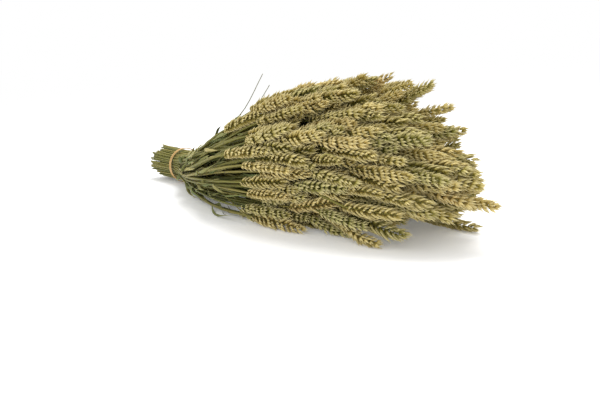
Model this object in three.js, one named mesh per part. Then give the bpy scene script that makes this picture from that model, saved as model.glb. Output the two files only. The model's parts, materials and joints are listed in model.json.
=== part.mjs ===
// A tied bundle of dried wheat, lying on its side.
// Millimetres. +X runs from the cut ends to the tips of the ears, +Z is up, and the underside lies on Z = 0.
// The finished group is centred on its box in X and Y, so its origin is under the middle of the bundle.
import * as THREE from "three";

// ---- Driving dimensions ----------------------------------------------------

const STALK_COUNT = 58;

// The bundle as a whole. Distances along X start at the cut ends.
const BUNDLE_LENGTH = 745;
const HEAD_WIDTH = 236;
const HEAD_HEIGHT = 180;
const END_HEIGHT = 54; // twice the height at which the longest stalk ends
const WIDEST_AT = 430; // where the fan of stalks has its full width
const HIGHEST_AT = 510; // where it has its full height
const TOP_REACH = 470; // tip of the shortest stalk on top of the bundle
const SIDE_REACH = 500; // on its sides
const UNDER_REACH = 480; // and underneath
const BUTT_DIAMETER = 66;
const BUTT_STAGGER = 22; // how unevenly the cut ends line up

// The tie round the neck.
const TIE_DISTANCE = 92;
const NECK_DIAMETER = 58;
const TIE_WIDTH = 9;
const TIE_THICKNESS = 1.8;
const TIE_CLEARANCE = 0.3;
const TIE_SIDES = 36;
const TIE_MARGIN = 1; // the stalks run straight this far past the tie on both sides

// One stalk.
const STEM_DIAMETER = 3.8;
const EAR_LENGTH = 88;
const EAR_WIDTH = 14;
const EAR_THICKNESS = 10;
const STALK_SIDES = 6;
const STEM_RING_SPACING = 100;
const TIP_HALF_WIDTH = 0.6; // the least half width of an ear

// How the stalks differ and how they lie.
const TIP_SCATTER = 34; // shortening of a stalk against the rule for its place
const WANDER = 7; // sideways stray of a tip
const NOD = 4; // drop of an ear's tip under its own weight
const NOD_SCATTER = 0.6;
const NECK_BEND = 34; // the stretch below an ear in which it turns
const EAR_ALIGNMENT = 0.85; // 1 sets all the ears side by side, 0 leaves them spread as a fan
const EAR_RUN = 0.96; // share of its length that an ear covers along X, as it lies at an angle
const EAR_LEAN = 0.17; // slope of the aligned ears towards +Y
const EAR_RISE_TOP = 0.18; // and upwards, on top of the bundle
const EAR_RISE_UNDER = 0.08; // and underneath
const TURN_DOWN = 0.4; // how far an ear that already rises more gives in to it
const EAR_FAN = 0.1; // how much the ears differ from it
const EAR_SIZE_SCATTER = 0.14;
const UNDER_SAG = 16; // how far the stalks underneath sag, down to what the bundle rests on
const PRESS = 0.7; // how far what rests on the surface is pressed flat
const END_SPREAD = 60; // larger values keep the last ears closer together
const SIDE_SWELL = 1.15; // 1 opens the fan at once, larger values more slowly
const TOP_SWELL = 2.3;
const SINK_POWER = 1.15;
const CORNER_SHARPNESS = 6; // 2 is an ellipse, more is squarer: only for the underside
const SQUARED_TO = 0.98; // share of the half width that is squared

// Stalks that stand out of the bundle, or make way for one that does, by number: how much longer they are,
// the slopes of their ears towards +Y and upwards, and how far the tip nods.
const STRAYS = {
  1: { longer: 6, lean: 0.08, rise: 0.02, nod: 2 },
  17: { longer: 10, lean: 0.08, rise: 0.18, nod: 3 },
  21: { longer: 12, lean: 0.04, rise: 0.02, nod: 30 },
  22: { longer: -26 },
  25: { longer: 45, lean: 0.02, rise: 0.52, nod: 2 },
  30: { longer: -32 },
  32: { longer: 88, lean: 0.04, rise: -0.2, nod: 2 },
  34: { longer: 0, lean: 0.24, rise: 0.3, nod: 4 },
  45: { longer: 0, lean: 0.08, rise: 0.06, nod: 4 },
};

// ---- Helpers ---------------------------------------------------------------

const GOLDEN_ANGLE = Math.PI * (3 - Math.sqrt(5));
const mix = (a, b, t) => a + (b - a) * t;
const clamp01 = (t) => Math.min(1, Math.max(0, t));

// A fixed number from 0 to 1 for stalk i. Each trait has its own number.
function chance(i, trait) {
  const wave = Math.sin((i + 1) * 12.9898 + trait * 78.233) * 43758.5453;
  return wave - Math.floor(wave);
}

// ---- The bundle's shape ----------------------------------------------------

const stemRadius = STEM_DIAMETER / 2;
const tieStart = TIE_DISTANCE - TIE_WIDTH / 2 - TIE_MARGIN;
const tieEnd = TIE_DISTANCE + TIE_WIDTH / 2 + TIE_MARGIN;
const tieInner = (NECK_DIAMETER / 2 + TIE_CLEARANCE) / Math.cos(Math.PI / TIE_SIDES);
const tieOuter = tieInner + TIE_THICKNESS;

// How far the fan has opened at x: 0 at the tie, 1 from the place where it is fully open.
function opening(x, fullAt, swell) {
  const t = clamp01((x - tieEnd) / (fullAt - tieEnd));
  return Math.sin((Math.PI / 2) * t) ** swell;
}

// The bundle's cross-section at x, as the place and half sizes of the stalks' middles.
// shortest is the reach of the shortest stalk in the direction that is asked about.
function sectionAt(x, shortest) {
  const sideways = opening(x, WIDEST_AT, SIDE_SWELL);
  const upwards = opening(x, HIGHEST_AT, TOP_SWELL);
  const flare = clamp01((tieStart - x) / tieStart);
  const neck = mix(NECK_DIAMETER, BUTT_DIAMETER, flare) / 2 - stemRadius;
  const sinking = clamp01((x - HIGHEST_AT) / (BUNDLE_LENGTH - HIGHEST_AT)) ** SINK_POWER;
  const fullHeight = mix(HEAD_HEIGHT, END_HEIGHT, sinking);
  const firstEnd = shortest - EAR_LENGTH / 2;
  return {
    middle: mix(tieOuter, fullHeight / 2, upwards),
    halfHeight: mix(neck, fullHeight / 2 - EAR_THICKNESS / 2, upwards),
    halfWidth: mix(neck, HEAD_WIDTH / 2 - EAR_WIDTH / 2, sideways),
    squareness: sideways,
    // Short stalks end on the outside, so those that go on move outwards to fill the section.
    live: Math.sqrt(1 - Math.max(0, x - firstEnd) / (BUNDLE_LENGTH + END_SPREAD - firstEnd)),
  };
}

// Squares the lower half of the unit disc, because the bundle lies flat on what it rests on.
function squared(across, up, amount) {
  if (up >= 0) return up;
  const a = Math.min(SQUARED_TO, Math.abs(across));
  const round = Math.sqrt(1 - a * a);
  const square = (1 - a ** CORNER_SHARPNESS) ** (1 / CORNER_SHARPNESS);
  return up * mix(1, square / round, amount);
}

// ---- One stalk -------------------------------------------------------------

// Everything that sets stalk i apart, with its middle line as a function of x.
function planStalk(i) {
  const radius = Math.sqrt((i + 0.5) / STALK_COUNT);
  const angle = i * GOLDEN_ANGLE;
  const across = radius * Math.cos(angle);
  const up = radius * Math.sin(angle);
  const butt = BUTT_STAGGER * chance(i, 1);
  const steepness = Math.abs(Math.sin(angle));
  const shortest = mix(SIDE_REACH, up > 0 ? TOP_REACH : UNDER_REACH, steepness);
  const reach = mix(BUNDLE_LENGTH, shortest, radius * radius);
  const odd = STRAYS[i + 1] ?? { longer: 0 };
  const tip = reach - TIP_SCATTER * chance(i, 2) + odd.longer;
  const size = 1 + EAR_SIZE_SCATTER * (chance(i, 3) - 0.5);
  const stray = {
    y: WANDER * (2 * chance(i, 4) - 1),
    z: WANDER * (2 * chance(i, 5) - 1),
  };
  const nod = odd.nod ?? NOD * (1 + NOD_SCATTER * (2 * chance(i, 6) - 1));
  const earBase = tip - EAR_LENGTH * size * EAR_RUN;

  // The route that the stalk's place in the bundle gives it.
  function route(x) {
    const section = sectionAt(x, shortest);
    const a = across / section.live;
    const b = squared(a, up / section.live, section.squareness);
    const along = clamp01((x - tieEnd) / (tip - tieEnd));
    const sag = UNDER_SAG * section.squareness * Math.max(0, -b);
    return {
      y: a * section.halfWidth + stray.y * along * along,
      z: section.middle + b * section.halfHeight + stray.z * along * along - sag,
    };
  }

  // The ears turn to lie side by side, so each leaves its stalk's route where its neck begins.
  const neck = earBase - NECK_BEND;
  const start = route(neck);
  const before = route(neck - 1);
  const slope = { y: start.y - before.y, z: start.z - before.z };
  const rise = mix(EAR_RISE_UNDER, EAR_RISE_TOP, (up + 1) / 2) + EAR_FAN * (2 * chance(i, 10) - 1);
  const lean = EAR_LEAN + EAR_FAN * (2 * chance(i, 9) - 1);
  const aim = {
    y: odd.lean ?? mix(slope.y, lean, EAR_ALIGNMENT),
    z: odd.rise ?? mix(slope.z, rise, slope.z > rise ? EAR_ALIGNMENT * TURN_DOWN : EAR_ALIGNMENT),
  };

  function middleLine(x) {
    if (x <= neck) return route(x);
    const past = x - neck;
    const eased = NECK_BEND * (1 - Math.exp(-past / NECK_BEND));
    const droop = nod * clamp01(past / (tip - neck)) ** 2;
    return {
      y: start.y + aim.y * past + (slope.y - aim.y) * eased,
      z: start.z + aim.z * past + (slope.z - aim.z) * eased - droop,
    };
  }
  return { butt, tip, earBase, size, roll: Math.PI * chance(i, 7), middleLine };
}

// The ear's outline, as pairs of share of its length and share of its full width.
const EAR_OUTLINE = [[0, 0.3], [0.1, 0.72], [0.32, 1], [0.66, 0.94], [0.9, 0.55], [1, 0.16]];

// The x of each ring of a stalk, with the half width and half thickness there.
function stalkRings(plan) {
  const rings = [plan.butt, tieStart, tieEnd].map((x) => ({ x, wide: stemRadius, thick: stemRadius }));
  const bare = plan.earBase - tieEnd;
  const steps = Math.max(2, Math.round(bare / STEM_RING_SPACING));
  for (let k = 1; k < steps; k++) {
    rings.push({ x: tieEnd + (bare * k) / steps, wide: stemRadius, thick: stemRadius });
  }
  for (const [share, width] of EAR_OUTLINE) {
    rings.push({
      x: mix(plan.earBase, plan.tip, share),
      wide: Math.max((EAR_WIDTH / 2) * width * plan.size, TIP_HALF_WIDTH),
      thick: Math.max((EAR_THICKNESS / 2) * width * plan.size, TIP_HALF_WIDTH),
    });
  }
  return rings;
}

// The corner points of one ring, flattened where the stalk rests on Z = 0.
function ringPoints(plan, ring) {
  const { y, z } = plan.middleLine(ring.x);
  const height = Math.hypot(ring.wide * Math.sin(plan.roll), ring.thick * Math.cos(plan.roll));
  const middle = Math.max(z, height - PRESS);
  const points = [];
  for (let k = 0; k < STALK_SIDES; k++) {
    const turn = (2 * Math.PI * k) / STALK_SIDES;
    const u = ring.wide * Math.cos(turn);
    const v = ring.thick * Math.sin(turn);
    points.push(new THREE.Vector3(
      ring.x,
      y + u * Math.cos(plan.roll) - v * Math.sin(plan.roll),
      Math.max(0, middle + u * Math.sin(plan.roll) + v * Math.cos(plan.roll)),
    ));
  }
  return points;
}

// A closed solid through rings of equal count, all turning anticlockwise about +X.
function loft(rings) {
  const sides = rings[0].length;
  const corners = rings.flat();
  const faces = [];
  for (let r = 0; r + 1 < rings.length; r++) {
    for (let k = 0; k < sides; k++) {
      const a = r * sides + k;
      const b = r * sides + ((k + 1) % sides);
      faces.push(a, b + sides, a + sides, a, b, b + sides);
    }
  }
  const last = (rings.length - 1) * sides;
  for (let k = 1; k + 1 < sides; k++) {
    faces.push(0, k + 1, k);
    faces.push(last, last + k, last + k + 1);
  }
  const geometry = new THREE.BufferGeometry().setFromPoints(corners);
  geometry.setIndex(faces);
  geometry.computeVertexNormals();
  return geometry;
}

// ---- The parts -------------------------------------------------------------

const STRAW_GREEN = new THREE.Color(0x8d9163);
const STRAW_GOLD = new THREE.Color(0xbfae78);
const BAND_TAN = new THREE.Color(0xb08d57);

function makeStalk(i) {
  const plan = planStalk(i);
  const rings = stalkRings(plan).map((ring) => ringPoints(plan, ring));
  const colour = STRAW_GREEN.clone().lerp(STRAW_GOLD, chance(i, 8));
  const material = new THREE.MeshStandardMaterial({ color: colour, roughness: 0.85, metalness: 0 });
  const stalk = new THREE.Mesh(loft(rings), material);
  stalk.name = `wheat_stalk_${String(i + 1).padStart(2, "0")}`;
  return stalk;
}

function makeTie() {
  const half = TIE_WIDTH / 2;
  const outline = [
    [tieInner, -half],
    [tieOuter, -half],
    [tieOuter, half],
    [tieInner, half],
    [tieInner, -half],
  ].map(([radius, along]) => new THREE.Vector2(radius, along));
  const band = new THREE.LatheGeometry(outline, TIE_SIDES);
  band.rotateZ(-Math.PI / 2);
  band.translate(TIE_DISTANCE, 0, tieOuter);
  const material = new THREE.MeshStandardMaterial({ color: BAND_TAN, roughness: 0.6, metalness: 0 });
  const tie = new THREE.Mesh(band, material);
  tie.name = "tie_band";
  return tie;
}

const bundle = new THREE.Group();
bundle.name = "wheat_bundle";
for (let i = 0; i < STALK_COUNT; i++) bundle.add(makeStalk(i));
bundle.add(makeTie());

const middle = new THREE.Box3().setFromObject(bundle).getCenter(new THREE.Vector3());
bundle.position.set(-middle.x, -middle.y, 0);

export default bundle;
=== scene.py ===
# %% [markdown]
# # A tied bundle of dried wheat
#
# A florist's bundle is some three hundred ripe stalks, held by a rubber band near their cut ends. It lies
# on its side, so the stems fan out from the tie, the ears press against each other, and the underside
# is flat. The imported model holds 58 of the stalks and the tie, which say where the bundle is and how it
# spreads. Here each of them gets its real detail, and the stalks that lie between them are added.

import json
import math
import random

import bpy
from mathutils import Matrix, Vector, geometry, kdtree

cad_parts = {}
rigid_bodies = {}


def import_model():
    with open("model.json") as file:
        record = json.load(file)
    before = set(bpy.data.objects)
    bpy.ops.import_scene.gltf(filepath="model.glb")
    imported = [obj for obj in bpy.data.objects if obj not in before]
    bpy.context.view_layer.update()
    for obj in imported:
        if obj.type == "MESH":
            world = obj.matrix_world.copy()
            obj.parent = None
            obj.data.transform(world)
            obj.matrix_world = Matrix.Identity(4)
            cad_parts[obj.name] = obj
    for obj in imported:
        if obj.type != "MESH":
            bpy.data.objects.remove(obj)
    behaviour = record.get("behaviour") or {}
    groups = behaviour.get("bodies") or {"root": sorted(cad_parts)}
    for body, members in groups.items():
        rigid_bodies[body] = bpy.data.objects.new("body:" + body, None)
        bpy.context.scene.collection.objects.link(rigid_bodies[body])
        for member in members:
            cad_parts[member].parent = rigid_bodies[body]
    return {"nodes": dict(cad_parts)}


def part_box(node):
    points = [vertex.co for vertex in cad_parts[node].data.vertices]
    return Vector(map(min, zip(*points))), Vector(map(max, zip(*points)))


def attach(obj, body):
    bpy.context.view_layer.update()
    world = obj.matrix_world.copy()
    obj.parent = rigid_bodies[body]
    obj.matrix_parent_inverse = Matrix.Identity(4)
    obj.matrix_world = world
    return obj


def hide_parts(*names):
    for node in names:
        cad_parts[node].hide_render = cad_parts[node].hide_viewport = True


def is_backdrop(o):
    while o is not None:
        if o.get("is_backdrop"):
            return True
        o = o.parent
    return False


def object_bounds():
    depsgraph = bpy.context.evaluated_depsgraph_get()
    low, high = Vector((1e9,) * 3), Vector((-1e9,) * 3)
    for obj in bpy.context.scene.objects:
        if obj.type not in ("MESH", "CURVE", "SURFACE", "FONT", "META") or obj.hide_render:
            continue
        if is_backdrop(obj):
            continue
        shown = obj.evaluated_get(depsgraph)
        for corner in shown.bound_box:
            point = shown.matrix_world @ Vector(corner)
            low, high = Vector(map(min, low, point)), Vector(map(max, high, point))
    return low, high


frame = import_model()
packed_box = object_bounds()
stalk_nodes = sorted(name for name in frame["nodes"] if name.startswith("wheat_stalk"))
print(len(stalk_nodes), "packed stalks, box", [[round(float(v), 4) for v in c] for c in packed_box])

# %% [markdown]
# ## Routes
#
# A stalk could be modelled by bending a straight one with a curve modifier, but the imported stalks
# already hold their bends. Each is a row of rings, so the middles of the rings give its route. The
# route is cut in three stretches: cut end to tie, tie to ear, and ear. A place on a stalk is then a
# number from 0 to 3, which means the same on every stalk, and stalks can be mixed at equal places.

# %% Reading a stalk's rings
MM = 0.001
RING_GAP = 0.2 * MM  # points nearer than this along the bundle belong to one ring
EAR_RINGS = 6


def rings_of(node):
    """The middle, greatest half width and its direction for each ring of a packed stalk."""
    points = sorted(tuple(v.co) for v in frame["nodes"][node].data.vertices)
    groups = [[points[0]]]
    for point in points[1:]:
        if point[0] - groups[-1][-1][0] > RING_GAP:
            groups.append([])
        groups[-1].append(point)
    rings = []
    for group in groups:
        corners = [Vector(c) for c in {tuple(round(v, 6) for v in p) for p in group}]
        middle = sum(corners, Vector()) / len(corners)
        far = max(corners, key=lambda c: (c - middle).length)
        roll = math.atan2(far.z - middle.z, far.y - middle.y) % math.pi
        rings.append((middle, (far - middle).length, roll))
    return rings


# %% A smooth route through the rings
class Route:
    """A smooth line through points that follow each other along X."""

    def __init__(self, points):
        self.points = points
        steps = [b - a for a, b in zip(points, points[1:])]
        slopes = [step / step.x for step in steps]
        self.slopes = [slopes[0]]
        for before, after, a, b in zip(steps, steps[1:], slopes, slopes[1:]):
            share = before.x / (before.x + after.x)
            self.slopes.append(a.lerp(b, share))
        self.slopes.append(slopes[-1])

    def at(self, x):
        k = 0
        while k < len(self.points) - 2 and x > self.points[k + 1].x:
            k += 1
        a, b = self.points[k], self.points[k + 1]
        run = b.x - a.x
        t = (x - a.x) / run
        if t < 0 or t > 1:
            near, slope = (a, self.slopes[k]) if t < 0 else (b, self.slopes[k + 1])
            return near + slope * (x - near.x)
        bend_a, bend_b = self.slopes[k] * run, self.slopes[k + 1] * run
        return (
            a * (2 * t**3 - 3 * t**2 + 1)
            + bend_a * (t**3 - 2 * t**2 + t)
            + b * (3 * t**2 - 2 * t**3)
            + bend_b * (t**3 - t**2)
        )


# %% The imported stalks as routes
tie_low, tie_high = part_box("tie_band")
TIE_X = (tie_low[0] + tie_high[0]) / 2
TIE_MIDDLE = Vector((TIE_X, (tie_low[1] + tie_high[1]) / 2, (tie_low[2] + tie_high[2]) / 2))
TIE_OUTSIDE = (tie_high[2] - tie_low[2]) / 2
EAR_REST = 6.0 * MM  # how high the middle of an ear lies that rests on the floor
STEM_REST = 1.7 * MM  # and the middle of a stem
RISES_FROM = 1.75  # the place from which a stem rises to the height of its ear


def above_floor(point, place):
    """The point, raised where a full stem or ear would sink into what the bundle lies on."""
    ear = min(1, max(0, (place - RISES_FROM) / (2 - RISES_FROM)))
    point.z = max(point.z, STEM_REST + (EAR_REST - STEM_REST) * ear)
    return point


class Stalk:
    """A stalk by its three stretches: place 0 is the cut end, 1 the tie, 2 the ear's base and 3 its tip."""

    def __init__(self, name, line, ends, roll, width):
        self.name, self.line, self.ends, self.roll, self.width = name, line, ends, roll, width

    def at(self, place):
        k = min(2, int(place))
        start, end = self.ends[k], self.ends[k + 1]
        return above_floor(self.line(start + (end - start) * (place - k)), place)


packed_stalks = []
for name in stalk_nodes:
    rings = rings_of(name)
    ear = rings[-EAR_RINGS:]
    widest = max(ear, key=lambda ring: ring[1])
    ends = (rings[0][0].x, TIE_X, ear[0][0].x, ear[-1][0].x)
    line = Route([middle for middle, _, _ in rings]).at
    packed_stalks.append(Stalk(name, line, ends, widest[2], widest[1]))
ear_lengths = [(s.at(3) - s.at(2)).length / MM for s in packed_stalks]
print(f"ears are {min(ear_lengths):.0f} to {max(ear_lengths):.0f} mm long, tie at {TIE_X / MM:.0f} mm")

# %% [markdown]
# ## The stalks in between
#
# The other stalks could be scattered at random in the bundle's outline, but random stalks cross each
# other and leave holes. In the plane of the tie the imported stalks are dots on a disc. A Delaunay
# triangulation joins each to its neighbours, and a new stalk goes in each triangle and on most of its
# sides. Its route is the mix of the routes round it, with a little stray and sway of its own, so it
# keeps to the bundle. Where its ear would sit low on the stems, the stalk grows on into the head.

# %% Mixing neighbours
MIX_SCATTER = 0.6  # how unevenly the neighbours are mixed
WIDTH_SCATTER = (0.86, 1.12)  # least and greatest width of an ear, as a share of its neighbours'
TIP_STRAY = 16 * MM  # how far an ear strays across the bundle
LENGTH_STRAY = 20 * MM  # and along it
STRAYS_OUT = 0.4  # share of a stray out of the bundle that is kept
STRAY_BEND = 1.6  # how late along the stalk its stray sets in
END_STRAY = 6 * MM  # how unevenly the cut ends line up
END_SPLAY = 2 * MM  # and how they splay
SWAY = 8 * MM  # how far a stem strays between the tie and its ear
PAIR_SHARE = 0.75  # share of the pairs of neighbours that get a stalk between them as well
SHORT_OF = 80 * MM  # an ear that starts before this grows on
GROWS_ON = 0.7  # by this share of what it lacks
FLATTER = 0.45  # and in a direction that is this much flatter than the ear's
NECK_PLACES = (0, 0.5, 1, 1.08, 1.17, 1.25, 1.33, 1.42, 1.5, 1.67, 1.83, 2)  # where stems make room
chance = random.Random(58)
head_middle = sum((s.at(2) for s in packed_stalks), Vector()) / len(packed_stalks)


class Between(Stalk):
    """A stalk that lies between others."""

    def __init__(self, name, neighbours):
        self.name = name
        self.neighbours = neighbours
        shares = [1 + MIX_SCATTER * chance.uniform(-1, 1) for _ in neighbours]
        self.shares = [share / sum(shares) for share in shares]
        self.roll = chance.uniform(0, math.pi)
        self.width = sum(s.width * share for s, share in zip(neighbours, self.shares))
        self.width *= chance.uniform(*WIDTH_SCATTER)
        self.stray = Vector([chance.uniform(-1, 1) * size for size in (LENGTH_STRAY, TIP_STRAY, TIP_STRAY)])
        self.sway = Vector([chance.uniform(-1, 1) * size for size in (0, SWAY, SWAY)])
        self.end = Vector([chance.uniform(-1, 1) * size for size in (END_STRAY, END_SPLAY, END_SPLAY)])
        self.base_aside, self.tip_aside = Vector(), Vector()
        self.neck = [Vector() for _ in NECK_PLACES]
        self.further = Vector()
        base, tip = self.at(2), self.at(3)
        outwards = ((base - head_middle) * Vector((0, 1, 1))).normalized()
        self.stray -= outwards * max(0, self.stray.dot(outwards)) * (1 - STRAYS_OUT)
        ahead = (tip - base) * Vector((1, FLATTER, FLATTER))
        self.further = ahead.normalized() * GROWS_ON * max(0, SHORT_OF - base.x)

    def at(self, place):
        middle = sum((s.at(place) * share for s, share in zip(self.neighbours, self.shares)), Vector())
        past_tie = max(0, place - 1) / 2
        before_tie = max(0, 1 - place)
        sway = self.sway * math.sin(math.pi * min(1, 2 * past_tie))
        aside = self.base_aside.lerp(self.tip_aside, max(0, place - 2)) + self.further
        aside *= min(1, max(0, place - 1)) ** 2
        for k, (a, b) in enumerate(zip(NECK_PLACES, NECK_PLACES[1:])):
            if a <= place < b:
                aside += self.neck[k].lerp(self.neck[k + 1], (place - a) / (b - a))
        aside += self.stray * past_tie**STRAY_BEND + sway + self.end * before_tie
        return above_floor(middle + aside, place)


crossings = [Vector((s.at(1).y, s.at(1).z)) for s in packed_stalks]
_, _, triangles, *_ = geometry.delaunay_2d_cdt(crossings, [], [], 0, 1e-6)
sides = {}
for triangle in triangles:
    for a, b in zip(triangle, triangle[1:] + triangle[:1]):
        sides.setdefault(tuple(sorted((a, b))), []).append(triangle)
pairs = [side for side, owners in sorted(sides.items()) if len(owners) == 1 or chance.random() < PAIR_SHARE]
groups = [tuple(t) for t in triangles] + pairs
between_stalks = [
    Between(f"between_{k + 1:03d}", [packed_stalks[i] for i in group]) for k, group in enumerate(groups)
]
print(len(triangles), "triangles and", len(pairs), "pairs give", len(between_stalks), "more stalks")

# %% [markdown]
# ## Room for every ear
#
# Mixed routes leave some ears inside each other and holes elsewhere. In a real bunch the ears push each
# other aside until each has its place, and a physics run could do that, but one simple rule, used again
# and again, is enough: ears that are too close move apart, and seldom outwards, so the outline stays.

# %% Ears push each other aside
EAR_ROOM = 13.5 * MM  # the distance that two ears want between their middles
EAR_PLACES = (2.0, 2.25, 2.5, 2.75, 3.0)
EAR_ROUNDS = 40
EAR_STEP = 0.18  # share of its push that an ear follows in one round
OUTWARD_SHARE = 0.15  # how much of a push outwards is followed
MOST_ASIDE = 20 * MM  # the furthest that an ear is moved

ear_axis = [sum((s.at(p) for s in packed_stalks), Vector()) / len(packed_stalks) for p in EAR_PLACES]


def crowding(spots, fixed):
    """How far each ear should move at its base and tip, from the ears that are too near."""
    owners = [(number, place) for number, ear in enumerate(spots) for place in ear]
    tree = kdtree.KDTree(len(owners) + len(fixed))
    for index, (_, place) in enumerate(owners):
        tree.insert(place, index)
    for index, place in enumerate(fixed):
        tree.insert(place, len(owners) + index)
    tree.balance()
    pushes = [(Vector(), Vector()) for _ in spots]
    for number, ear in enumerate(spots):
        for k, here in enumerate(ear):
            outwards = here - ear_axis[k]
            outwards.x = 0
            outwards.normalize()
            for near, index, gap in tree.find_range(here, EAR_ROOM):
                if gap == 0 or (index < len(owners) and owners[index][0] == number):
                    continue
                push = (here - near) * (EAR_ROOM / gap - 1)
                push.x = 0
                out = push.dot(outwards)
                if out > 0:
                    push -= outwards * out * (1 - OUTWARD_SHARE)
                share = k / (len(EAR_PLACES) - 1)
                pushes[number][0].xyz += push * (1 - share)
                pushes[number][1].xyz += push * share
    return pushes


def settle(stalks, fixed_stalks):
    """Lets the ears push each other aside, round by round."""
    fixed = [s.at(p) for s in fixed_stalks for p in EAR_PLACES]
    start = [[s.at(p) for p in EAR_PLACES] for s in stalks]
    for _ in range(EAR_ROUNDS):
        spots = []
        for stalk, ear in zip(stalks, start):
            asides = [stalk.base_aside.lerp(stalk.tip_aside, p - 2) for p in EAR_PLACES]
            spots.append([above_floor(place + aside, 3) for place, aside in zip(ear, asides)])
        for stalk, (base, tip) in zip(stalks, crowding(spots, fixed)):
            for aside, push in ((stalk.base_aside, base), (stalk.tip_aside, tip)):
                aside += push * EAR_STEP
                if aside.length > MOST_ASIDE:
                    aside *= MOST_ASIDE / aside.length


settle(between_stalks, packed_stalks)
moved = [s.tip_aside.length / MM for s in between_stalks]
print(f"tips moved {sum(moved) / len(moved):.1f} mm on average, {max(moved):.1f} mm at most")

# %% [markdown]
# ## Room for every stem
#
# In a real bundle no two stems share a place, and the tie presses them into a solid disc. A physics run
# on bent rods could settle them, but something would have to hold the outline. So the ears' rule is
# used again, on cross sections: at some places along the bundle the stems are dots, and dots that are
# too near move apart. Between those places stems can still cut through each other, and just past the
# tie most of them do.

# %% Stems make room for each other
STEM_HALF = 1.65 * MM
PRESSED = 0.8  # share of its width that a stem has where the tie presses it
FULL_FROM = 1.35  # the place from which a stem has its full width again
WITHIN_TIE = 3.6 * MM  # what the tie and half a stem take up
NECK_REACH = TIE_OUTSIDE - WITHIN_TIE  # how far from the middle a stem may lie up to the tie
NECK_ROUNDS = 90
STEM_STEP = 0.4  # share of its push that a stem follows in one round
SPARE = 1.05  # stems ask for this many times their own width
CARRIED = 0.95  # share of one place's moves that the next place starts from


def across(point):
    """The point as a dot on a cross section of the bundle."""
    return Vector((0, point.y, point.z))


def stem_half(place):
    """A stem's half width, which the tie presses smaller."""
    return STEM_HALF * (PRESSED + (1 - PRESSED) * min(1, max(0, place - 1) / (FULL_FROM - 1)))


def spread(stalks, fixed_stalks, k):
    """Moves stems apart across the bundle at one of the places."""
    place = NECK_PLACES[k]
    middle, room = across(TIE_MIDDLE), 2 * stem_half(place) * SPARE
    fixed = [across(s.at(place)) for s in fixed_stalks]
    for _ in range(NECK_ROUNDS):
        spots = [across(s.at(place)) for s in stalks]
        tree = kdtree.KDTree(len(spots) + len(fixed))
        for index, spot in enumerate(spots + fixed):
            tree.insert(spot, index)
        tree.balance()
        for index, (stalk, spot) in enumerate(zip(stalks, spots)):
            push = Vector()
            for near, other, gap in tree.find_range(spot, room):
                if other != index and gap > 0:
                    push += (spot - near) * (room / gap - 1) * STEM_STEP
            if place <= 1:
                out = spot + push - middle
                push -= out.normalized() * max(0, out.length - NECK_REACH)
            stalk.neck[k] += push


def crowded(stalks, place):
    """How many stems overlap another one there."""
    spots = [across(s.at(place)) for s in stalks]
    return sum(any(a is not b and (a - b).length < 2 * stem_half(place) for b in spots) for a in spots)


everyone = packed_stalks + between_stalks
looked_at = (0, 0.25, 0.5, 0.75, 1, 1.04, 1.12, 1.21, 1.29, 1.37, 1.46, 1.6, 1.75)
before = [crowded(everyone, place) for place in looked_at]
at_tie = NECK_PLACES.index(1)
spread(between_stalks, packed_stalks, at_tie)
for k in [*range(at_tie - 1, -1, -1), *range(at_tie + 1, len(NECK_PLACES) - 1)]:
    for stalk in between_stalks:  # starting from what the last place found keeps a stem from weaving about
        stalk.neck[k] = stalk.neck[k + 1 if k < at_tie else k - 1] * CARRIED
    spread(between_stalks, packed_stalks, k)
print("stems that overlap another, by place:")
for place, was in zip(looked_at, before):
    print(f"  {place}: {was} before, {crowded(everyone, place)} now")

# %% [markdown]
# ## One way to write nodes
#
# Geometry and material trees can be clicked together, but in a script they read best as arithmetic. A
# small class wraps a socket, so `1 - mask` adds a Math node, and one method makes any other node from
# its type, its settings and what goes into its sockets.


# %% Sockets with arithmetic
class Wire:
    """An output socket. Sums of wires and numbers add Math nodes."""

    def __init__(self, tree, socket):
        self.tree, self.socket = tree, socket

    def out(self, name):
        return Wire(self.tree, self.socket.node.outputs[name])

    def _with(self, operation, *values):
        return self.tree.add("ShaderNodeMath", {"operation": operation}, dict(enumerate(values)))

    def __add__(self, other):
        return self._with("ADD", self, other)

    def __sub__(self, other):
        return self._with("SUBTRACT", self, other)

    def __rsub__(self, other):
        return self._with("SUBTRACT", other, self)

    def __mul__(self, other):
        return self._with("MULTIPLY", self, other)

    def __pow__(self, other):
        return self._with("POWER", self, other)

    def __mod__(self, other):
        return self._with("MODULO", self, other)

    __radd__ = __add__
    __rmul__ = __mul__

    def clamped(self):
        wire = self._with("ADD", self, 0.0)
        wire.socket.node.use_clamp = True
        return wire


class Tree:
    """A node tree that is written from left to right."""

    def __init__(self, tree):
        self.tree = tree

    def add(self, kind, settings=None, values=None, output=0):
        node = self.tree.nodes.new(kind)
        for setting, value in (settings or {}).items():
            if setting == "stops":
                fill_ramp(node.color_ramp, value)
            else:
                setattr(node, setting, value)
        for socket, value in (values or {}).items():
            self.put(node.inputs[socket], value)
        return Wire(self, node.outputs[output]) if node.outputs else node

    def put(self, socket, value):
        if isinstance(value, (list, tuple)) and value and isinstance(value[0], Wire):
            for wire in value:
                self.tree.links.new(wire.socket, socket)
        elif isinstance(value, Wire):
            self.tree.links.new(value.socket, socket)
        else:
            socket.default_value = value


def fill_ramp(ramp, stops):
    while len(ramp.elements) < len(stops):
        ramp.elements.new(0.5)
    for element, (place, colour) in zip(ramp.elements, stops):
        element.position, element.color = place, colour


print("node helpers ready")

# %% [markdown]
# ## Finishes
#
# Dry straw is dull and slightly glossy along its fibres. Its colour changes from stalk to stalk, from
# grey green, where it dried fast, to gold and here and there a rusty tan. Painting images for it would
# tie it to one layout, so the materials are noise on object coordinates, stretched along the bundle
# for the fibres, plus a few numbers that the geometry carries: `tone` for each stalk, `shade` for each
# husk, and `tip`, which runs from 0 at a husk's base to 1 at its point.


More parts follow.
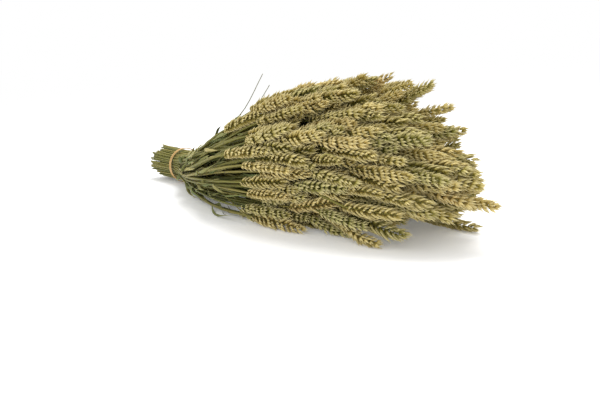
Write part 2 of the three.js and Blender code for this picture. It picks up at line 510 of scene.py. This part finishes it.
# %% Colours and the material helper
def srgb(red, green, blue):
    """A colour given as it looks on screen, 0 to 255, as the linear values that nodes use."""

    def linear(v):
        v = v / 255
        return v / 12.92 if v <= 0.04045 else ((v + 0.055) / 1.055) ** 2.4

    return (linear(red), linear(green), linear(blue), 1.0)


SHINE = 0.2  # nothing here is polished


class Finish(Tree):
    """A material with one Principled shader."""

    def __init__(self, name):
        self.material = bpy.data.materials.new(name)
        self.material.use_nodes = True
        super().__init__(self.material.node_tree)
        self.shader = self.tree.nodes["Principled BSDF"]

    def number(self, name):
        return self.add("ShaderNodeAttribute", {"attribute_name": name}, output="Fac")

    def noise(self, scale, stretch=(1, 1, 1), detail=2.0):
        place = self.add("ShaderNodeTexCoord", output="Object")
        place = self.add("ShaderNodeVectorMath", {"operation": "MULTIPLY"}, {0: place, 1: stretch})
        return self.add("ShaderNodeTexNoise", {}, {"Vector": place, "Scale": scale, "Detail": detail})

    def blend(self, factor, a, b, how="MIX"):
        settings = {"data_type": "RGBA", "blend_type": how}
        return self.add("ShaderNodeMix", settings, {0: factor, 6: a, 7: b}, output=2)

    def ramp(self, factor, stops):
        return self.add("ShaderNodeValToRGB", {"stops": stops}, {"Fac": factor})

    def finish(self, colour, roughness, height, bump, depth):
        normal = self.add(
            "ShaderNodeBump", {}, {"Height": height, "Strength": bump, "Distance": depth}, output="Normal"
        )
        self.put(self.shader.inputs["Base Color"], colour)
        self.put(self.shader.inputs["Roughness"], roughness)
        self.put(self.shader.inputs["Specular IOR Level"], SHINE)
        self.put(self.shader.inputs["Normal"], normal)
        return self.material


# %% Husks
GREY_GREEN, OLIVE = srgb(134, 135, 56), srgb(164, 150, 64)
STRAW, GOLD = srgb(188, 167, 86), srgb(206, 182, 106)
# The darkest colour here is painted shade, for where husks overlap and the gaps between rows.
PALE, RUST, HUSK_GAP_SHADE = srgb(230, 216, 164), srgb(182, 118, 50), srgb(80, 64, 8)


def make_husk():
    husk = Finish("dry_husk")
    tone, shade, tip = husk.number("tone"), husk.number("shade"), husk.number("tip")
    fibres = husk.noise(1.0, (260, 2600, 2600))
    patches = husk.noise(34.0)
    colour = husk.ramp(
        tone + (patches - 0.5) * 0.35,
        [(0.0, GREY_GREEN), (0.36, OLIVE), (0.7, STRAW), (1.0, GOLD)],
    )
    rusty = husk.noise(19.0)
    colour = husk.blend(((rusty - 0.6) * 5).clamped() * 0.5, colour, RUST)
    colour = husk.blend((tip * 1.5 - 0.35).clamped() * 0.75, colour, PALE)
    # Painted shade: each husk darkens towards its base, where it lies in the shade of the husks over it and
    # of the gaps between rows.
    colour = husk.blend((0.42 - tip * 1.1).clamped(), colour, HUSK_GAP_SHADE)
    value = shade * 0.34 + fibres * 0.3 + 0.55
    grey = husk.add("ShaderNodeCombineXYZ", {}, {0: value, 1: value, 2: value})
    colour = husk.blend(1.0, colour, grey, "MULTIPLY")
    return husk.finish(colour, 0.58 + fibres * 0.25, fibres, 0.45, 0.3 * MM)


husk_material = make_husk()

# %% Stems and leaves
DARK_GREEN, STEM_GREEN, STEM_STRAW = srgb(78, 84, 34), srgb(116, 113, 52), srgb(150, 137, 76)


def make_straw(name, darkest, middle, lightest, gloss):
    straw = Finish(name)
    tone, joint = straw.number("tone"), straw.number("joint")
    fibres = straw.noise(1.0, (22, 1500, 1500))
    patches = straw.noise(18.0, (0.6, 1, 1))
    colour = straw.ramp(tone * 0.7 + patches * 0.5 - 0.1, [(0.0, darkest), (0.5, middle), (1.0, lightest)])
    colour = straw.blend(joint * 0.7, colour, srgb(92, 82, 44))
    value = fibres * 0.5 + 0.76
    grey = straw.add("ShaderNodeCombineXYZ", {}, {0: value, 1: value, 2: value})
    colour = straw.blend(1.0, colour, grey, "MULTIPLY")
    return straw.finish(colour, gloss + fibres * 0.25, fibres, 0.4, 0.2 * MM)


stem_material = make_straw("dry_stem", DARK_GREEN, STEM_GREEN, STEM_STRAW, 0.42)
leaf_material = make_straw("dry_leaf", srgb(80, 98, 54), srgb(132, 136, 80), srgb(188, 174, 116), 0.55)


# %% The tie's rubber
def make_rubber():
    rubber = Finish("tan_rubber")
    dust = rubber.noise(260.0, detail=3.0)
    wear = rubber.noise(60.0)
    colour = rubber.blend(wear * 0.7, srgb(176, 138, 84), srgb(206, 172, 118))
    colour = rubber.blend((dust - 0.5).clamped(), colour, srgb(226, 212, 180))
    return rubber.finish(colour, 0.5 + dust * 0.25, dust, 0.25, 0.1 * MM)


rubber_material = make_rubber()
print("finishes:", ", ".join(m.name for m in (husk_material, stem_material, leaf_material, rubber_material)))

# %% [markdown]
# ## Husks and spikelets
#
# An ear of wheat is a zigzag axis with a spikelet at each step, left and right in turn. A spikelet is a
# fan of two short outer husks and three longer ones that hold the grain. Each husk is a pointed boat,
# lofted from a few rings, because it is repeated some thirty thousand times and each of its faces is
# too. Three different spikelets are enough, since the tree turns and scales every copy.

# %% A husk
HUSK_SIDES = 6
HUSK_RINGS = [(0.0, 0.5), (0.3, 1.0), (0.6, 0.8), (0.84, 0.36)]  # share of length, share of width
HUSK_BACK, HUSK_FRONT = 1.15, 0.8  # how full its outer and its inner face are
HUSK_BOW = 0.09  # how far it bows outwards, as a share of its length


def husk_shape(length, half_width, half_depth, point):
    """The corners and faces of a husk along +Z with its back to +X."""
    corners, faces = [], []
    for share, width in HUSK_RINGS:
        for k in range(HUSK_SIDES):
            turn = 2 * math.pi * k / HUSK_SIDES
            full = HUSK_BACK if math.cos(turn) > 0 else HUSK_FRONT
            x = math.cos(turn) * half_depth * width * full + length * HUSK_BOW * math.sin(math.pi * share)
            corners.append((x, math.sin(turn) * half_width * width, length * share, share))
    for r in range(len(HUSK_RINGS) - 1):
        for k in range(HUSK_SIDES):
            a, b = r * HUSK_SIDES + k, r * HUSK_SIDES + (k + 1) % HUSK_SIDES
            faces.append((a, b, b + HUSK_SIDES, a + HUSK_SIDES))
    last = (len(HUSK_RINGS) - 1) * HUSK_SIDES
    corners.append((0.0, 0.0, length * point, 1.0))
    for k in range(HUSK_SIDES):
        faces.append((last + k, last + (k + 1) % HUSK_SIDES, len(corners) - 1))
    faces.append(tuple(reversed(range(HUSK_SIDES))))
    return corners, faces


# %% Three spikelets
# Each husk of a spikelet: place of its base, length, half width, half depth (mm) and lean sideways (degrees).
SPIKELET = [
    ((0.6, -2.0, 0.0), 8.4, 1.7, 1.3, 30),
    ((0.6, 2.0, 0.0), 8.4, 1.7, 1.3, -30),
    ((1.2, -1.4, 0.8), 10.6, 1.8, 1.6, 17),
    ((1.2, 1.4, 0.8), 10.6, 1.8, 1.6, -17),
    ((2.1, 0.0, 1.9), 10.9, 1.9, 1.7, 0),
]
HUSK_SIZES = (0.92, 1.08)
HUSK_POINTS = (1.14, 1.42)  # how far its point reaches, as a share of its length
HUSK_LEAN = 4  # degrees that a husk may lean to either side of its place in the fan


def make_spikelet(number):
    luck = random.Random(number)
    corners, tips, shades, faces = [], [], [], []
    for base, length, half_width, half_depth, lean in SPIKELET:
        size = luck.uniform(*HUSK_SIZES)
        turn = Matrix.Rotation(math.radians(lean + luck.uniform(-HUSK_LEAN, HUSK_LEAN)), 4, "X")
        turn = Matrix.Translation(Vector(base)) @ turn
        shape, shape_faces = husk_shape(length * size, half_width, half_depth, luck.uniform(*HUSK_POINTS))
        first, shade = len(corners), luck.random()
        for x, y, z, share in shape:
            corners.append((turn @ Vector((x, y, z))) * MM)
            tips.append(share)
            shades.append(shade)
        faces += [tuple(first + k for k in face) for face in shape_faces]
    mesh = bpy.data.meshes.new(f"spikelet_{number}")
    mesh.from_pydata(corners, [], faces)
    mesh.attributes.new("tip", "FLOAT", "POINT").data.foreach_set("value", tips)
    mesh.attributes.new("shade", "FLOAT", "POINT").data.foreach_set("value", shades)
    mesh.shade_smooth()
    return bpy.data.objects.new(mesh.name, mesh)


spikelets = bpy.data.collections.new("spikelets")
for number in (1, 2, 3):
    spikelets.objects.link(make_spikelet(number))

# %% [markdown]
# ## The trees
#
# The stalks come in as plain lines with numbers at their points. One tree sets spikelets along the
# lines of the ears, one sweeps a ring along the stems, and one sweeps a flat leaf section. The last
# tree sorts the lines by their `kind`, hands them to those three and joins what comes back.

# %% Starting a tree
KIND_STEM, KIND_EAR, KIND_LEAF = 0, 1, 2
FLOOR_GAP = 0.2 * MM


class Shape(Tree):
    """A geometry tree with named inputs."""

    def __init__(self, name, inputs):
        tree = bpy.data.node_groups.new(name, "GeometryNodeTree")
        super().__init__(tree)
        tree.interface.new_socket("Lines", in_out="INPUT", socket_type="NodeSocketGeometry")
        for label, kind, default in inputs:
            socket = tree.interface.new_socket(label, in_out="INPUT", socket_type=kind)
            socket.default_value = default
        tree.interface.new_socket("Geometry", in_out="OUTPUT", socket_type="NodeSocketGeometry")
        self.inputs = self.add("NodeGroupInput")

    def input(self, name):
        return self.inputs.out(name)

    def number(self, name):
        return self.add("GeometryNodeInputNamedAttribute", {"data_type": "FLOAT"}, {"Name": name})

    def store(self, lines, name, value):
        settings = {"data_type": "FLOAT", "domain": "POINT"}
        values = {"Geometry": lines, "Name": name, "Value": value}
        return self.add("GeometryNodeStoreNamedAttribute", settings, values)

    def scatter(self, low, high, seed):
        values = {2: low, 3: high, "Seed": seed}
        return self.add("FunctionNodeRandomValue", {"data_type": "FLOAT"}, values, output=1)

    def end(self, shape, material=None):
        if material:
            shape = self.add("GeometryNodeSetMaterial", {}, {"Geometry": shape, "Material": material})
        out = self.tree.nodes.new("NodeGroupOutput")
        self.put(out.inputs["Geometry"], shape)
        return self.tree


# %% The ear tree
ROWS = 22  # spikelets on an ear
TILT = 0.42  # how far a spikelet leans away from the axis, in radians
TILT_SCATTER = 0.16
SWING_SCATTER = 0.4  # how unevenly spikelets face left and right
SIZE_SCATTER = 0.12
SEED = 7


def ear_tree():
    inputs = [("Rows", "NodeSocketInt", ROWS), ("Tilt", "NodeSocketFloat", TILT)]
    ear = Shape("ears_from_lines", [*inputs, ("Seed", "NodeSocketInt", SEED)])
    line = ear.add("GeometryNodeMeshToCurve", {}, {"Mesh": ear.input("Lines")})
    line = ear.add("GeometryNodeSetCurveNormal", {"mode": "Z_UP"}, {"Curve": line})
    values = {"Curve": line, "Count": ear.input("Rows")}
    line = ear.add("GeometryNodeResampleCurve", {"mode": "COUNT"}, values)
    along = ear.add("GeometryNodeSplineParameter")
    line = ear.store(line, "along", along)
    line = ear.store(line, "row", along.out("Index"))
    points = ear.add("GeometryNodeCurveToPoints", {"mode": "EVALUATED"}, {"Curve": line})
    along, row = ear.number("along"), ear.number("row")

    # Rows face left and right in turn, and lean away from the axis less and less towards the tip.
    swing = ear.number("roll") + (row % 2) * math.pi
    swing = swing + ear.scatter(-SWING_SCATTER, SWING_SCATTER, ear.input("Seed"))
    lean = ear.input("Tilt") * (1 - 0.8 * along**6)
    lean = lean + ear.scatter(-TILT_SCATTER, TILT_SCATTER, ear.input("Seed") + 1)
    swing = ear.add("FunctionNodeAxisAngleToRotation", {}, {"Axis": (0, 0, 1), "Angle": swing})
    lean = ear.add("FunctionNodeAxisAngleToRotation", {}, {"Axis": (0, 1, 0), "Angle": lean})
    local = {"rotation_space": "LOCAL"}
    turn = ear.add("FunctionNodeRotateRotation", local, {0: points.out("Rotation"), 1: swing})
    turn = ear.add("FunctionNodeRotateRotation", local, {0: turn, 1: lean})

    # The first rows are small, the middle ones full, and the last ones small again.
    size = (1 - 0.3 * (1 - along) ** 6 - 0.26 * along**5) * ear.number("size")
    size = size * ear.scatter(1 - SIZE_SCATTER, 1 + SIZE_SCATTER, ear.input("Seed") + 2)
    values = {4: 0, 5: len(spikelets.objects) - 1, "Seed": ear.input("Seed") + 3}
    pick = ear.add("FunctionNodeRandomValue", {"data_type": "INT"}, values, output=2)
    values = {"Collection": spikelets, "Separate Children": True, "Reset Children": True}
    family = ear.add("GeometryNodeCollectionInfo", {}, values)
    values = {"Points": points, "Instance": family, "Pick Instance": True, "Instance Index": pick}
    values.update({"Rotation": turn, "Scale": size})
    copies = ear.add("GeometryNodeInstanceOnPoints", {}, values)
    return ear.end(ear.add("GeometryNodeRealizeInstances", {}, {"Geometry": copies}), husk_material)


ears_from_lines = ear_tree()


# %% The stem and leaf trees
def swept_tree(name, sides, flatness, material):
    """Sweeps a ring, or a flat one, along the lines. Each point carries its half width as girth."""
    swept = Shape(name, [("Sides", "NodeSocketInt", sides), ("Flatness", "NodeSocketFloat", flatness)])
    line = swept.add("GeometryNodeMeshToCurve", {}, {"Mesh": swept.input("Lines")})
    line = swept.add("GeometryNodeSetCurveNormal", {"mode": "MINIMUM_TWIST"}, {"Curve": line})
    line = swept.add("GeometryNodeSetCurveTilt", {}, {"Curve": line, "Tilt": swept.number("roll")})
    values = {"Resolution": swept.input("Sides"), "Radius": 1.0}
    ring = swept.add("GeometryNodeCurvePrimitiveCircle", {"mode": "RADIUS"}, values)
    squeeze = swept.add("ShaderNodeCombineXYZ", {}, {0: 1.0, 1: swept.input("Flatness"), 2: 1.0})
    ring = swept.add("GeometryNodeTransform", {}, {"Geometry": ring, "Scale": squeeze})
    values = {"Curve": line, "Profile Curve": ring, "Scale": swept.number("girth"), "Fill Caps": True}
    body = swept.add("GeometryNodeCurveToMesh", {}, values)
    body = swept.add("GeometryNodeSetShadeSmooth", {}, {"Geometry": body, "Shade Smooth": True})
    return swept.end(body, material)


stems_from_lines = swept_tree("stems_from_lines", 7, 1.0, stem_material)
leaves_from_lines = swept_tree("leaves_from_lines", 8, 0.06, leaf_material)


# %% The tree that joins them
def bundle_tree():
    bundle = Shape("stalks_from_lines", [("Rows", "NodeSocketInt", ROWS), ("Seed", "NodeSocketInt", SEED)])
    kind = bundle.number("kind")
    tree_of = {KIND_STEM: stems_from_lines, KIND_EAR: ears_from_lines, KIND_LEAF: leaves_from_lines}
    parts = []
    for number, group in tree_of.items():
        values = {0: kind, 1: float(number), "Epsilon": 0.1}
        chosen = bundle.add("FunctionNodeCompare", {"operation": "EQUAL"}, values)
        values = {"Geometry": bundle.input("Lines"), "Selection": chosen}
        lines = bundle.add("GeometryNodeSeparateGeometry", {"domain": "POINT"}, values)
        values = {"Lines": lines}
        if group is ears_from_lines:
            values.update({"Rows": bundle.input("Rows"), "Seed": bundle.input("Seed")})
        parts.append(bundle.add("GeometryNodeGroup", {"node_tree": group}, values))
    joined = bundle.add("GeometryNodeJoinGeometry", {}, {"Geometry": parts})
    joined = bundle.add("GeometryNodeRealizeInstances", {}, {"Geometry": joined})

    # What would sink into the floor is pressed flat on it.
    place = bundle.add("ShaderNodeSeparateXYZ", {}, {0: bundle.add("GeometryNodeInputPosition")})
    height = bundle.add("ShaderNodeMath", {"operation": "MAXIMUM"}, {0: place.out("Z"), 1: FLOOR_GAP})
    place = bundle.add("ShaderNodeCombineXYZ", {}, {0: place.out("X"), 1: place.out("Y"), 2: height})
    return bundle.end(bundle.add("GeometryNodeSetPosition", {}, {"Geometry": joined, "Position": place}))


stalks_from_lines = bundle_tree()
print("trees:", ", ".join(group.name for group in bpy.data.node_groups))

# %% [markdown]
# ## Lines for a stalk
#
# A stem isn't an even rod. It has a swollen joint every so often, the leaf's sheath wraps it above the
# joint and makes it a little thicker, and it is thinnest just below the ear. A modifier can't know
# where a joint belongs, so the points of the line carry the girth. A leaf leaves the top of its sheath
# and, dry, hangs on beside the stem with a slow twist.

# %% Girth along a stem
STEM_STEPS = 12  # steps between the tie and the ear
STEM_WIDTHS = (0.82, 1.12)  # the thinnest and the thickest stem, as a share of the usual one
JOINTS = (0.42, 0.8)  # places of the joints between the tie and the ear
JOINT_SHIFT = 0.09  # how far a stalk's own joints lie from there
JOINT_HALF = 4 * MM
JOINT_SWELL = 1.42
SHEATH_SWELL = 1.14
SHEATH_RUN = 0.22  # how far the sheath reaches beyond its joint
WITHIN_EAR = ((2, 0.7), (2.3, 0.55), (2.6, 0.45), (2.9, 0.3))  # place and share of the stem's width


def stem_points(stalk, luck):
    """Points of the stem from the cut end to inside the ear, each as place, half width and joint strength."""
    bare = stalk.at(2).x - stalk.at(1).x
    slim = luck.uniform(*STEM_WIDTHS)
    points = [(place, PRESSED, 0) for place in (0, 0.25, 0.5, 0.75, 1)]
    shift = luck.uniform(-JOINT_SHIFT, JOINT_SHIFT)
    marks = [1 + joint + shift for joint in JOINTS]
    step = JOINT_HALF / bare
    plain = [1 + k / STEM_STEPS for k in range(1, STEM_STEPS)]
    plain = [p for p in plain if all(abs(p - mark) > 2.2 * step for mark in marks)]
    for place in plain:
        sheath = SHEATH_SWELL if any(0 < place - mark < SHEATH_RUN for mark in marks) else 1.0
        wide = slim * sheath * (1.06 - 0.3 * (place - 1) ** 3)
        points.append((place, PRESSED + (wide - PRESSED) * min(1, (place - 1) / (FULL_FROM - 1)), 0))
    for mark in marks:
        points += [(mark - step, slim * 0.96, 0), (mark, slim * JOINT_SWELL, 1)]
        points.append((mark + step, slim * 1.12, 0))
    points += [(place, slim * share, 0) for place, share in WITHIN_EAR]
    return sorted(points)


# %% Leaves
LEAVES = 2  # at most, on one stalk
LEAF_SHARE = 0.85  # how likely each of them is to be there still
LEAF_STEPS = 9
LEAF_HALF = 3.5 * MM
LEAF_STARTS = (0.1, 0.72)  # where it leaves the stem, counted from the tie
LEAF_RUNS = (0.14, 0.32)  # how far along the stalk it reaches
LEAF_AWAY = (3 * MM, 13 * MM)  # how far it hangs out of the bundle
LEAF_STRAY = 7 * MM
LEAF_CURL = 5 * MM
LEAF_TWIST = 2.4  # radians, to either side


def leaf_points(stalk, luck):
    """Points of a leaf that starts on the stem and strays from it, each as position, half width and twist."""
    start = 1 + luck.uniform(*LEAF_STARTS)
    length = luck.uniform(*LEAF_RUNS)
    place = min(1.9, start + 0.5 * length)
    middle = sum((s.at(place) for s in packed_stalks), Vector()) / len(packed_stalks)
    away = stalk.at(place) - middle
    away.x = 0
    away = away.normalized() * luck.uniform(*LEAF_AWAY)
    away += Vector((0, luck.uniform(-1, 1), luck.uniform(-1, 1))) * LEAF_STRAY
    curl = Vector((0, luck.uniform(-1, 1), luck.uniform(-1, 1))) * LEAF_CURL
    half = LEAF_HALF * luck.uniform(0.5, 1.2)
    roll, twist = luck.uniform(0, math.pi), luck.uniform(-LEAF_TWIST, LEAF_TWIST)
    points = []
    for k in range(LEAF_STEPS):
        t = k / (LEAF_STEPS - 1)
        position = stalk.at(min(1.98, start + length * t)) + away * math.sin(1.9 * t) + curl * math.sin(5 * t)
        wide = half * (0.35 + 2.2 * t) if t < 0.3 else half * (1.01 - 0.95 * ((t - 0.3) / 0.7) ** 1.6)
        wide *= luck.uniform(0.75, 1.2)
        points.append((position, max(wide, 0.25 * MM), roll + twist * t))
    return points


# %% All the lines of some stalks
EAR_POINTS = 8
EAR_HALF_WIDTH = 7.0 * MM  # a spikelet of size 1 stands this far out
EAR_SIZES = (1.02, 1.14)  # the leanest and the fullest ear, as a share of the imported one
EAR_FILLED = 0.93  # share of the ear that its axis runs through: the last husks reach the tip
TONE_SPREAD = (1.3, 1.2)  # nearly even, with a little more gold than green


class Lines:
    """Points in rows, with the numbers that the trees and the materials read."""

    NUMBERS = ("kind", "girth", "roll", "size", "tone", "joint")

    def __init__(self):
        self.points, self.edges = [], []
        self.numbers = {name: [] for name in self.NUMBERS}

    def row(self, points, **numbers):
        """Adds a row. A number may be one value for the row or a list with one for each point."""
        first = len(self.points)
        self.points += [tuple(point) for point in points]
        self.edges += [(first + k, first + k + 1) for k in range(len(points) - 1)]
        for name in self.NUMBERS:
            value = numbers.get(name, 0.0)
            self.numbers[name] += value if isinstance(value, list) else [value] * len(points)

    def stalk(self, stalk, luck):
        tone = luck.betavariate(*TONE_SPREAD)
        stem = stem_points(stalk, luck)
        self.row(
            [stalk.at(place) for place, _, _ in stem],
            kind=KIND_STEM,
            girth=[STEM_HALF * wide for _, wide, _ in stem],
            joint=[float(joint) for _, _, joint in stem],
            tone=tone,
        )
        size = stalk.width / EAR_HALF_WIDTH * luck.uniform(*EAR_SIZES)
        spine = [stalk.at(2 + EAR_FILLED * k / (EAR_POINTS - 1)) for k in range(EAR_POINTS)]
        self.row(spine, kind=KIND_EAR, roll=stalk.roll, size=size, tone=tone)
        for _ in range(LEAVES):
            if luck.random() < LEAF_SHARE:
                leaf = leaf_points(stalk, luck)
                self.row(
                    [p for p, _, _ in leaf],
                    kind=KIND_LEAF,
                    girth=[wide for _, wide, _ in leaf],
                    roll=[roll for _, _, roll in leaf],
                    tone=luck.random(),
                )

    def mesh(self, name):
        mesh = bpy.data.meshes.new(name)
        mesh.from_pydata(self.points, self.edges, [])
        for label, values in self.numbers.items():
            mesh.attributes.new(label, "FLOAT", "POINT").data.foreach_set("value", [float(v) for v in values])
        return mesh


# %% From lines to a finished piece
def set_input(modifier, label, value):
    for item in modifier.node_group.interface.items_tree:
        if item.name == label and item.in_out == "INPUT":
            modifier[item.identifier] = value


def grow(name, lines, seed):
    """Runs the tree over the lines and keeps the result as a plain mesh piece."""
    piece = bpy.data.objects.new(name, lines.mesh(name + "_lines"))
    bpy.context.scene.collection.objects.link(piece)
    modifier = piece.modifiers.new("grow", "NODES")
    modifier.node_group = stalks_from_lines
    set_input(modifier, "Rows", ROWS)
    set_input(modifier, "Seed", seed)
    bpy.context.view_layer.update()
    grown = bpy.data.meshes.new_from_object(piece.evaluated_get(bpy.context.evaluated_depsgraph_get()))
    piece.modifiers.clear()
    piece.data = grown
    grown.name = name
    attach(piece, "root")
    return piece


# %% [markdown]
# ## Growing the bundle
#
# Each packed stalk is hidden, and a detailed one, named by its number, takes its place. The stalks in
# between touch nothing that moves, so they are joined into a few pieces, by neighbourhood.

# %% The imported stalks
faces_made = 0
for number, stalk in enumerate(packed_stalks, 1):
    luck = random.Random(1000 + number)
    lines = Lines()
    lines.stalk(stalk, luck)
    piece = grow(f"stalk_{number:02d}", lines, number)
    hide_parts(stalk.name)
    faces_made += sum(len(p.vertices) - 2 for p in piece.data.polygons)
print(len(packed_stalks), "stalks with", faces_made, "triangles")

# %% Loose straws
# Each straw is thin and bare: the places it passes, in millimetres.
STRAWS = [
    [(-270, 4, 52), (-190, 22, 92), (-124, 30, 131), (-60, 30, 188)],
    [(-262, 0, 54), (-150, 12, 100), (-65, 20, 143), (-29, 20, 172)],
    [(-100, 20, 110), (60, 40, 134), (179, 50, 153), (205, 50, 168)],
    [(-180, -20, 70), (-60, -40, 84), (40, -52, 104), (118, -50, 88)],
    [(-240, -14, 48), (-120, -52, 40), (0, -84, 24), (90, -100, 9)],
    [(224, -91, 102), (237, -89, 107), (242, -84, 102), (243.5, -81, 94)],  # a curled end between the ears
]
STRAW_HALF = 1.0 * MM
STRAW_STEPS = 14

lines = Lines()
for number, places in enumerate(STRAWS):
    route = Route([Vector(place) * MM for place in places])
    start, end = places[0][0] * MM, places[-1][0] * MM
    shares = [k / STRAW_STEPS for k in range(STRAW_STEPS + 1)]
    xs = [start + (end - start) * share for share in shares]
    girth = [STRAW_HALF * (1.1 - 0.6 * share) for share in shares]
    lines.row([route.at(x) for x in xs], kind=KIND_STEM, girth=girth, tone=0.2 + 0.15 * number)
straws = grow("loose_straws", lines, 900)
print(len(STRAWS), "loose straws with", len(straws.data.polygons), "faces")

# %% The stalks in between
PER_PIECE = 20
between_stalks.sort(key=lambda s: math.atan2(s.at(1).z - TIE_MIDDLE.z, s.at(1).y - TIE_MIDDLE.y))
for first in range(0, len(between_stalks), PER_PIECE):
    lines = Lines()
    for stalk in between_stalks[first : first + PER_PIECE]:
        lines.stalk(stalk, random.Random(stalk.name))
    piece = grow(f"stalks_between_{first // PER_PIECE + 1}", lines, 100 + first)
    faces = sum(len(p.vertices) - 2 for p in piece.data.polygons)
    faces_made += faces
    print(piece.name, faces, "triangles")
print("all stalks:", faces_made, "triangles")

# %% [markdown]
# ## The tie
#
# A florist's tie is a rubber band in a few turns. It is one flat strand swept along a coil whose turns
# sit beside each other and cross a little, so it isn't a smooth ring. A band has no ends, so the coil
# closes on itself.

# %% The rubber band
TURNS = 3
TURN_STEPS = 48
STRAND_HALF = 1.5 * MM  # half of its width
STRAND_THICK = 0.45 * MM  # half of its thickness
STRAND_SIDES = 8
BAND_REACH = 3.0 * MM  # how far the outer turns lie from the middle one
WOBBLE = 0.25 * MM  # how far a turn strays along the stalks
TURN_RISE = 0.3 * MM  # how far one turn rises over another
RIPPLE = 0.045 * MM
TURN_ROOM = 0.35 * MM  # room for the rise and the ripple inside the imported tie


def tie_route():
    """The middle of the strand, turn after turn."""
    radius = TIE_OUTSIDE - STRAND_THICK - TURN_ROOM
    points = []
    for k in range(TURNS * TURN_STEPS):
        turn = 2 * math.pi * k / TURN_STEPS
        aside = BAND_REACH * math.sin(turn / TURNS) + WOBBLE * math.sin(5 * turn / TURNS)
        reach = radius + TURN_RISE * math.cos(turn / TURNS) + RIPPLE * math.sin(turn * 7 + k)
        points.append(TIE_MIDDLE + Vector((aside, reach * math.cos(turn), reach * math.sin(turn))))
    return points


def tie_mesh(points):
    """Sweeps the strand's flat section, with its flat side to the stalks."""
    corners, faces = [], []
    for k, point in enumerate(points):
        outwards = across(point - TIE_MIDDLE).normalized()
        along = (points[(k + 1) % len(points)] - points[k - 1]).normalized()
        sideways = along.cross(outwards).normalized()
        for s in range(STRAND_SIDES):
            turn = 2 * math.pi * s / STRAND_SIDES
            x, y = math.cos(turn), math.sin(turn)
            corners.append(point + sideways * STRAND_HALF * x + outwards * STRAND_THICK * y)
    for k in range(len(points)):
        here, ahead = k * STRAND_SIDES, (k + 1) % len(points) * STRAND_SIDES
        for s in range(STRAND_SIDES):
            after = (s + 1) % STRAND_SIDES
            faces.append((here + s, ahead + s, ahead + after, here + after))
    mesh = bpy.data.meshes.new("tie_turns")
    mesh.from_pydata(corners, [], faces)
    mesh.shade_smooth()
    mesh.materials.append(rubber_material)
    return mesh


tie = bpy.data.objects.new("tie_turns", tie_mesh(tie_route()))
bpy.context.scene.collection.objects.link(tie)
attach(tie, "root")
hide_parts("tie_band")
print("tie:", len(tie.data.polygons), "faces")

# %% [markdown]
# ## Floor, light and camera
#
# The bundle lies on a plain pale floor that runs to a pale sky of the same brightness, so there is no
# horizon. A wide soft light hangs above it, a weaker one fills the near side.

# %% Floor
FLOOR_HALF = 60.0
SKY = 1.0  # the floor gives back as much as the sky: what its colour swallows, it glows
PAPER = 0.86  # how pale the floor is
square = [(-FLOOR_HALF, -FLOOR_HALF, 0.0), (FLOOR_HALF, -FLOOR_HALF, 0.0)]
square += [(FLOOR_HALF, FLOOR_HALF, 0.0), (-FLOOR_HALF, FLOOR_HALF, 0.0)]
floor_mesh = bpy.data.meshes.new("floor")
floor_mesh.from_pydata(square, [], [(0, 1, 2, 3)])
floor = bpy.data.objects.new("floor", floor_mesh)
bpy.context.scene.collection.objects.link(floor)
paper = Finish("pale_paper")
paper.put(paper.shader.inputs["Base Color"], (PAPER, PAPER, PAPER, 1.0))
paper.put(paper.shader.inputs["Roughness"], 0.9)
paper.put(paper.shader.inputs["Specular IOR Level"], 0.0)
paper.put(paper.shader.inputs["Emission Color"], (1.0, 1.0, 1.0, 1.0))
paper.put(paper.shader.inputs["Emission Strength"], SKY * (1 - PAPER))
floor_mesh.materials.append(paper.material)
floor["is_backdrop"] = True

# %% Lights
world = bpy.data.worlds.new("pale_studio")
bpy.context.scene.world = world
world.use_nodes = True
world.node_tree.nodes["Background"].inputs["Color"].default_value = (1.0, 1.0, 1.0, 1.0)
world.node_tree.nodes["Background"].inputs["Strength"].default_value = SKY


def soft_light(name, place, target, size, power):
    lamp = bpy.data.lights.new(name, "AREA")
    lamp.shape, lamp.size, lamp.energy = "DISK", size, power
    light = bpy.data.objects.new(name, lamp)
    light.location = place
    light.rotation_euler = (Vector(target) - Vector(place)).to_track_quat("-Z", "Y").to_euler()
    bpy.context.scene.collection.objects.link(light)


soft_light("light_above", (0.0, 0.3, 1.2), (0.15, 0, 0.1), 0.9, 15)
soft_light("light_near", (1.2, -0.9, 0.6), (0.1, 0, 0.05), 1.0, 3.0)

# %% Camera
CAMERA_AT = Vector((0.7746, -0.5198, 0.2162))  # beyond the ears, to one side and low
LOOKING = Vector((-0.78988, 0.5715, -0.22240)).normalized()
RIGHT = Vector((0.59736, 0.7994, -0.06418))
SENSOR = 36.0  # width, in millimetres
FOCAL = 38.778  # focal length, in millimetres

right = (RIGHT - LOOKING * RIGHT.dot(LOOKING)).normalized()
up = right.cross(LOOKING)
camera = bpy.data.objects.new("camera", bpy.data.cameras.new("camera"))
camera.data.sensor_width = SENSOR
camera.data.lens = FOCAL
camera.data.clip_start = 0.01
camera.data.clip_end = 100
turn = Matrix((right, up, -LOOKING)).transposed().to_4x4()
camera.matrix_world = Matrix.Translation(CAMERA_AT) @ turn
bpy.context.scene.collection.objects.link(camera)
bpy.context.scene.camera = camera
bpy.context.scene.view_settings.view_transform = "Standard"

# %% Sizes
visual_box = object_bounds()
sizes = {
    "cad": [[float(v) for v in corner] for corner in packed_box],
    "visual": [[float(v) for v in corner] for corner in visual_box],
}
for label, corners in sizes.items():
    print(label, [[round(v, 4) for v in corner] for corner in corners])
